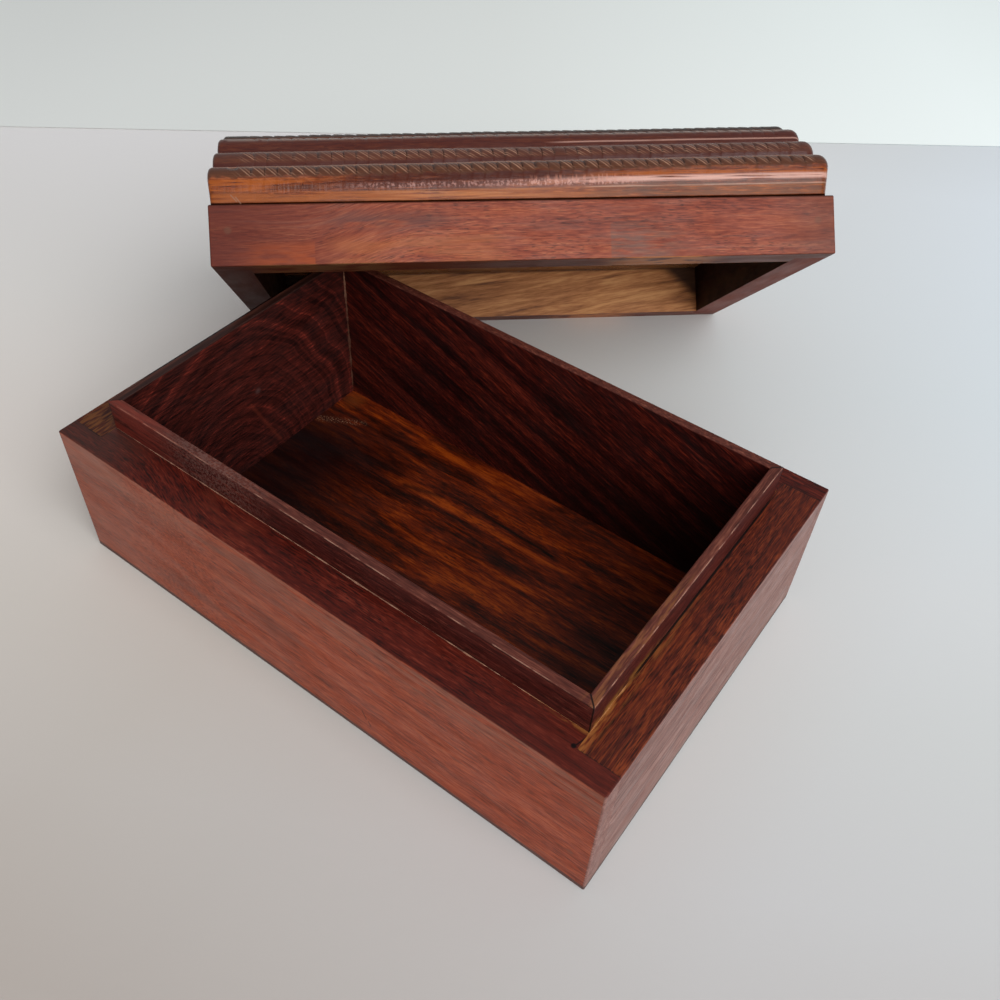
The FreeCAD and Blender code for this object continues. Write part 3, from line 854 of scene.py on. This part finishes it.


# the top's wood is layered lengthwise, orange and brown; the crests are rubbed grey-brown, the edges of the
# cuts are pale from wear and a painted highlight, and painted shade sits dark in the gouges and along the
# foot
carvedLook = {
    "seed": 21.0,
    "band": (70.0, 3.2),
    "stops": [(0.32, "3c160b"), (0.43, "642a14"), (0.52, "7c3a1c"), (0.64, "9a5630")],
    "onLid": True,
    "roughness": (0.24, 0.36),
    "specular": 0.45,
    "silvered": 0.2,
    "pores": 0.6,
    "sawn": ("34180e", 0.45),  # end grain
    "low": (13.4, 16.5, 0.5),  # the yellower layer: mm down from the crest of the outer ridge, and softness
    "foot": (16.6, 19.0, 0.3),
    "underRope": (7.6, 9.4),
    "underside": (20.0, 24.0),
    "duller": (-0.2, -0.1),  # gloss lost under the rope and on the low layer
    "chatter": 1.3,  # mm between the marks that the carver's scraper left on the outer flank
}

# dark red under the rope, deepened by painted shade; an orange layer at both ends, a painted highlight below
# it at the right; then a yellower one above the foot, painted shadow at the foot
outerRidgeTones = {
    "mottled": ("5c2c1c", 0.5), "dusk": ("3e160e", 0.85), "lowDusk": ("481c10", 0.85),
    "orange": ("9c501c", 0.8), "rubbed": ("d8a898", 0.72), "darkPatch": ("38201e", 0.7),
    "low": ("965226", 0.75), "bright": ("d08850", 0.32), "sandy": ("5c3a29", 0.75),
    "crest": ("4e2c1a", 0.85), "foot": ("0c0402", 0.97),
}


def outerRidgeMarks(board, colour):
    outer, x, down = board.outer, board.x, board.down
    # the dark band under the rope is painted shade
    dusk = every(outer, within(down, 7.6, 10.6, 0.7), within(x, -58.0, 26.0, 12.0))
    lowDusk = every(outer, within(down, 10.4, 13.6, 0.8), within(x, -62.0, -8.0, 14.0))
    orange = every(outer, within(down, 8.9, 10.4, 0.5), fade(x, 4.0, 36.0))
    wedge = every(outer, within(down, 8.6, 13.0, 0.7), fade(x, -58.0, -84.0))
    # the pale band below the orange layer at the right is a painted highlight of the window
    rubbed = every(outer, within(down, 10.4, 12.0, 0.5), fade(x, -6.0, 40.0))
    bright = every(board.low, within(x, -46.0, 4.0, 16.0))
    sandy = every(outer, within(down, 12.2, 16.4, 0.5), fade(x, 0.0, 40.0))
    ragged = added(down, (uneven(board, 3.0, 3.0, 0.3, 0.7), 1.2))
    return tintAll(colour, outerRidgeTones,
                   mottled=every(outer, uneven(board, 2.4, 0.8, 0.42, 0.60)),
                   dusk=every(dusk, uneven(board, 9.0, 0.9, 0.26, 0.44)),
                   lowDusk=every(lowDusk, uneven(board, 14.0, 0.8, 0.30, 0.52)),
                   orange=every(either(orange, wedge), uneven(board, 12.0, 0.7, 0.34, 0.56)),
                   rubbed=every(rubbed, uneven(board, 16.0, 0.5, 0.26, 0.50)),
                   darkPatch=every(outer, within(x, -80.0, -66.0, 5.0), within(down, 11.0, 12.6, 0.6)),
                   low=every(board.low, uneven(board, 24.0, 0.8, 0.30, 0.56)),
                   bright=every(bright, uneven(board, 30.0, 0.7, 0.46, 0.60)),
                   sandy=every(sandy, uneven(board, 8.0, 0.5, 0.34, 0.60)),
                   crest=every(outer, fade(ragged, 9.2, 8.0)),
                   # the near black at the foot is painted shadow in the seam
                   foot=board.foot)


innerRidgeTones = {
    "second": ("4c2a20", 0.8), "secondFlank": ("48160f", 0.7), "third": ("421611", 0.8),
    "far": ("4c2c1e", 0.6), "farEdge": ("2c2723", 0.85), "thirdCrest": ("8e7a70", 0.65),
    "thirdLine": ("b08678", 0.8),
}


def innerRidgeMarks(board, colour):  # the ridges behind the outer one: brown, then dark red, then grey-brown
    x, down, second, third = board.x, board.down, board.second, board.third
    far = fade(board.rank, 2.4, 2.6)
    line = every(third, within(down, 7.6, 8.1, 0.2), fade(x, 8.0, 18.0))
    return tintAll(colour, innerRidgeTones, second=second,
                   secondFlank=every(second, fade(down, 7.4, 8.8)),
                   third=third,
                   far=far,
                   farEdge=every(far, within(down, -4.0, 5.0, 0.8), fade(board.y, -13.0, -17.0)),
                   thirdCrest=every(third, within(down, -2.0, 4.6, 0.7), uneven(board, 2.6, 2.6, 0.26, 0.5)),
                   thirdLine=every(line, uneven(board, 12.0, 3.0, 0.26, 0.46)))


ropeTones = {
    "outerBrow": ("ac7458", 0.8), "secondBrow": ("ac7458", 0.35), "gouge": ("1c0a06", 0.6),
    "line": "be9074",  # where the gouge left the wood, two to a strand: worn edges with a painted highlight on them
    "lines": ((0.04, 0.75), (0.36, 0.4)),  # places and strengths
}


def ropeMarks(board, colour):
    brow = within(board.down, 0.0, 2.9, 0.5)  # the brow of the two front ridges is rubbed pale, with a painted highlight along it
    # the dark tone in the deepest part of each cut is painted shade
    colour = tintAll(colour, ropeTones, outerBrow=every(brow, board.outer),
                     secondBrow=every(brow, board.second), gouge=fade(board.cut, 0.24, 0.42))
    for start, strength in ropeTones["lines"]:
        phase = added(0.5 - start, (board.strand, 1.0), (board.slant, -1.0))
        phase = addNode(board.tree, "ShaderNodeMath", (phase,), operation="FRACT")
        line = every(within(phase, 0.44, 0.56, 0.03), board.shown)
        colour = tint(colour, line, ropeTones["line"], strength)
    return colour


splinters = (((-93.0, 22.0), (-91.4, 20.2)), ((-91.6, 21.4), (-90.2, 19.6)))  # by the left end's foot
scraperTones = {
    "splinter": ("8a6450", 0.8), "nicks": ("a8786c", 0.6), "paleNicks": ("cc9888", 0.45),
    "scraped": ("b87c68", 0.45), "line": ("c8a088", 0.5), "slip": ("1c0a06", 0.75),
}


def scraperMarks(board, colour):
    outer, x, down = board.outer, board.x, board.down
    for start, stop in splinters:
        splinter = every(strokeOn(x, board.z, start, stop, 0.25), fade(board.y, -62.0, -62.6))
        colour = tint(colour, splinter, *scraperTones["splinter"])
    settings = {"W": x, "Scale": 1 / carvedLook["chatter"]}
    chatter = addNode(board.tree, "ShaderNodeTexNoise", settings, noise_dimensions="1D")
    board.fibre = added(board.fibre, (every(chatter, outer, within(down, 10.0, 13.4, 0.8)), 2.4))
    # the nicks and scraped patches are the scraper's marks, painted pale as glints of the window on them
    nicks = every(outer, uneven(board, 0.8, 0.9, 0.48, 0.56), fade(chatter, 0.36, 0.46))
    nicks = every(nicks, within(down, 10.9, 12.5, 0.6), within(x, -54.0, 32.0, 10.0))
    scraped = every(outer, fade(chatter, 0.48, 0.58), within(down, 9.6, 12.2, 0.6))
    scraped = every(scraped, within(x, 0.0, 32.0, 7.0), uneven(board, 1.2, 1.5, 0.36, 0.56))
    # a thin pale line along the lower layer at the right: painted highlight
    line = every(outer, within(down, 13.2, 13.5, 0.2), fade(x, 6.0, 26.0))
    slip = strokeOn(x, down, (-94.0, 3.6), (-91.2, 2.6), 0.8, 0.4)
    return tintAll(colour, scraperTones, nicks=nicks, paleNicks=every(nicks, fade(x, -14.0, 6.0)),
                   scraped=scraped, line=every(line, uneven(board, 14.0, 2.0, 0.30, 0.54)),
                   slip=every(slip, outer))


def carvedMaterial():
    look = carvedLook
    board = startBoard("sheesham carved and lacquered", look)
    for name in strandLayers:
        setattr(board, name, addNode(board.tree, "ShaderNodeAttribute", attribute_name=name).outputs["Fac"])
    board.outer = fade(board.rank, 0.9, 0.1)
    board.second = within(board.rank, 0.6, 1.4, 0.1)
    board.third = within(board.rank, 1.6, 2.4, 0.1)
    board.low = every(board.outer, within(board.down, *look["low"]))
    board.foot = every(board.outer, within(board.down, *look["foot"]))
    wood = woodColour(board, look)
    ceiling = grainColour(board, ceilingWood, 34.0, 2.4)
    colour = outerRidgeMarks(board, wood)
    colour = tint(colour, fade(board.down, *look["underside"]), ceiling)
    colour = scraperMarks(board, ropeMarks(board, innerRidgeMarks(board, colour)))
    sawn, share = look["sawn"]
    colour = tint(colour, fade(board.rank, 7.0, 8.0), tint(wood, share, sawn))
    # the flank under the rope is duller, and there is no lacquer in the corner under it
    duller, dullerLow = look["duller"]
    gloss = added(look["specular"], (every(board.outer, fade(board.down, *look["underRope"])), duller),
                  (board.low, dullerLow), (board.foot, -look["specular"]))
    gloss = addNode(board.tree, "ShaderNodeClamp", (gloss,))
    plugIn(board.tree, board.shader, {"Specular IOR Level": gloss})
    return finishBoard(board, look, colour)


top = carvedTop()
top.data.materials.append(carvedMaterial())
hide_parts("carved_top")
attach(top, "lid")
print("top carved:", len(top.data.polygons), "faces")


# ---- dried glue: a thin line along the foot of the lip, and a bead down the inner corner
glueLook = {
    "seed": 30.0,
    "stops": [(0.32, "5a3a2c"), (0.5, "93684f"), (0.66, "b48c72")],
    "roughness": (0.3, 0.5),
    "specular": 0.4,
    "bump": 0.3,
}
glueBeads = {  # ends, the two ways out of the corner that it fills, and its least and greatest size, in mm
    "glue_front_foot": {"ends": ((-87.2, -52.0, 53.0), (87.8, -52.0, 53.0)),
                        "out": (0, -1, 0), "up": (0, 0, 1), "size": (0.06, 0.30)},
    "glue_right_foot": {"ends": ((87.4, -52.6, 53.0), (87.4, -34.0, 53.0)),
                        "out": (1, 0, 0), "up": (0, 0, 1), "size": (0.10, 0.55)},
    "glue_inner_corner": {"ends": ((-84.4, 49.0, 3.0), (-84.4, 49.0, 62.0)),
                          "out": (1, 0, 0), "up": (0, -1, 0), "size": (0.25, 0.75)},
}
beadStep = 0.8  # mm


def glueBead(name, look):
    start, stop = [Vector(end) for end in look["ends"]]
    out, up = Vector(look["out"]), Vector(look["up"])
    steps = round((stop - start).length / beadStep)
    least, greatest = look["size"]

    def placeOf(i, j):
        share = i / (steps - 1)
        end = min(1.0, 8 * share, 8 * (1 - share))  # it thins out over an eighth of its length
        lump = 0.4 + 1.2 * wander(i * 0.11, least * 40, 3.0) + 0.6 * wander(i * 0.4, 2.0, least)
        size = max(0.04, end * (least + (greatest - least) * lump))
        across = ((-0.05, -0.05), (size, -0.03), (0.42 * size, 0.42 * size), (-0.03, size))[j]
        return (start.lerp(stop, share) + out * across[0] + up * across[1],)

    return addPiece(tubeFrom(steps, 4, placeOf), name, smoothAngle=60)


glueTones = {"atFoot": ("7c5444", 0.55), "amber": ("8c5824", 0.8), "lowInCorner": ("3a1c12", 0.85)}


def glueMaterial():  # hide glue under lacquer: tan where it is thin, amber where it is thick and old, with painted shade low in the inner corner
    board = startBoard("dried hide glue", glueLook)
    lump = grainNoise(board.grain, 2.5, 1.2, 3.0)
    colour = addNode(board.tree, "ShaderNodeValToRGB", (lump,), glueLook["stops"])
    colour = tintAll(colour, glueTones, atFoot=fade(board.x, 62.0, 30.0), amber=fade(board.x, 60.0, 84.0),
                     lowInCorner=every(fade(board.y, 40.0, 45.0), fade(board.z, 63.0, 40.0)))
    board.fibre, board.pore = lump, grainNoise(board.place, 0.8, 0.8)
    return finishBoard(board, glueLook, colour)


driedGlue = glueMaterial()
for beadName, look in glueBeads.items():
    bead = glueBead(beadName, look)
    bead.data.materials.append(driedGlue)
    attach(bead, "base")
print("glue beads:", len(glueBeads))


# ---- nails: plain steel, hidden in the wood
nailLook = {"colour": "8a8782", "roughness": (0.25, 0.5), "drawn": 900.0}  # marks of drawing to the metre

steel, steelTree, steelShader = startMaterial("drawn steel nails")
steelPlace = addNode(steelTree, "ShaderNodeTexCoord").outputs["Object"]
settings = {"Vector": steelPlace, "Scale": nailLook["drawn"], "Detail": 3.0}
scratch = addNode(steelTree, "ShaderNodeTexNoise", settings)
rough = addNode(steelTree, "ShaderNodeMapRange", (scratch, 0.0, 1.0, *nailLook["roughness"]))
plugIn(steelTree, steelShader, {"Base Color": nailLook["colour"], "Metallic": 1.0, "Roughness": rough})
for nailGroup in ("base_corner_nails", "lid_corner_nails"):
    paint(nailGroup, steel)


# ---- table and light: a white painted table against a wall, with a window to the right; the fall of its light over table and wall is painted, and the wall glows
stageLook = {  # sizes in metres
    "tableSize": 3.0,
    "back": (-0.46, 0.89, 0.0),  # away from the camera
    "table": [(0.0, "c4b8af"), (0.12, "d2cac3"), (0.25, "dbd5cd"), (0.38, "e6e0d9"), (0.62, "edece8"),
              (1.0, "fdfdfd")],
    "tableRun": (-0.150, 0.300),  # painted light: the table is lighter further back, from here to here
    "daylight": [(0.0, "f9f6f5"), (0.44, "e9eae9"), (0.62, "e8ecee"), (1.0, "eef7ff")],
    "daylightRun": (-0.18, 0.14),  # and painted cooler light towards the window
    # the background is painted lighter towards the window
    "beyond": [(0.0, "e6e7e3"), (0.5, "e8eae6"), (1.0, "f4fbf9")],
    "beyondGlow": (0.06, 0.15),  # glow of the background, from its left to its right: a painted glow
    "wallLine": ((-0.3805, 0.0942), (0.0559, 0.4445)),  # where the table meets the wall
    "wallGlow": "f4fffb",
    "beyondHeight": 0.0004,
    "beyondSize": (2.0, 2.5),  # past each end of that line, and away from the table
    "rolled": 260.0,  # lumps of rolled paint to the metre
    "rolledDepth": 0.0005,
}
lights = {  # places and sizes in metres, power in watts
    "window": {"position": (1.02, -0.375, 1.035), "size": (1.0, 1.2), "power": 19.0, "colour": "fafcff"},
    "room": {"position": (1.08, -1.116, 0.90), "size": (1.3, 1.3), "power": 8.0, "colour": "fff8f2"},
}
worldLook = {"colour": "f2f5f8", "strength": 0.4}


def paintMaterial(name, runs, roughness):  # satin paint, faintly rolled, whose tone changes along each run: painted light
    material, tree, shader = startMaterial(name)
    place = addNode(tree, "ShaderNodeTexCoord").outputs["Object"]
    colour = None
    for start, stop, stops in runs:
        share = shareAlong(place, start, stop)
        tone = addNode(tree, "ShaderNodeValToRGB", (share,), stops)
        if colour:
            both = (1.0, colour, tone)
            tone = addNode(tree, "ShaderNodeMix", both, data_type="RGBA", blend_type="MULTIPLY")
        colour = tone
    settings = {"Vector": place, "Scale": stageLook["rolled"], "Detail": 2.0}
    rolled = addNode(tree, "ShaderNodeTexNoise", settings)
    relief = {"Height": rolled, "Strength": 0.08, "Distance": stageLook["rolledDepth"]}
    normal = addNode(tree, "ShaderNodeBump", relief)
    plugIn(tree, shader, {"Base Color": colour, "Roughness": roughness, "Normal": normal})
    return material, share


floorMesh = bmesh.new()
bmesh.ops.create_grid(floorMesh, x_segments=1, y_segments=1, size=stageLook["tableSize"])
floorPiece = addPiece(floorMesh, "table_top")
back = Vector(stageLook["back"])
right = Vector((1.0, 0.0, 0.0))
runs = [[back * d for d in stageLook["tableRun"]] + [stageLook["table"]],
        [right * d for d in stageLook["daylightRun"]] + [stageLook["daylight"]]]
floorPiece.data.materials.append(paintMaterial("painted table", runs, 0.6)[0])

wallMesh = bmesh.new()
near, far = [Vector((x, y, stageLook["beyondHeight"])) for x, y in stageLook["wallLine"]]
alongWall = (far - near).normalized()
away = Vector((-alongWall.y, alongWall.x, 0.0))
longer, deep = stageLook["beyondSize"]
corners = [near - alongWall * longer, far + alongWall * longer]
wallMesh.edges.new([wallMesh.verts.new(corner) for corner in corners])
strip = bmesh.ops.extrude_edge_only(wallMesh, edges=wallMesh.edges[:])["geom"]
farSide = [v for v in strip if isinstance(v, bmesh.types.BMVert)]
bmesh.ops.translate(wallMesh, verts=farSide, vec=away * deep)
wallPiece = addPiece(wallMesh, "ground_beyond_the_table")
wallMaterial, wallShare = paintMaterial("painted wall", [(near, far, stageLook["beyond"])], 0.8)
wallTree = wallMaterial.node_tree
rays = addNode(wallTree, "ShaderNodeLightPath").outputs
seen = added(rays["Is Camera Ray"], (rays["Is Glossy Ray"], 1.0))
weak, strong = stageLook["beyondGlow"]
glow = every(seen, added(weak, (wallShare, strong - weak)))
glowing = {"Emission Strength": glow, "Emission Color": stageLook["wallGlow"]}
plugIn(wallTree, wallTree.nodes["Principled BSDF"], glowing)
wallPiece.data.materials.append(wallMaterial)

for name, look in lights.items():
    lamp = bpy.data.lights.new(name, "AREA")
    lamp.energy = look["power"]
    lamp.shape = "RECTANGLE"
    lamp.size, lamp.size_y = look["size"]
    lamp.color = toLinear(look["colour"])[:3]
    lampPiece = bpy.data.objects.new(name, lamp)
    lampPiece.location = look["position"]
    lampPiece.rotation_euler = Vector(look["position"]).to_track_quat("Z", "Y").to_euler()
    bpy.context.scene.collection.objects.link(lampPiece)

world = bpy.data.worlds.new("studio")
world.use_nodes = True
world.node_tree.nodes["Background"].inputs["Color"].default_value = toLinear(worldLook["colour"])
world.node_tree.nodes["Background"].inputs["Strength"].default_value = worldLook["strength"]
bpy.context.scene.world = world
print("stage set")
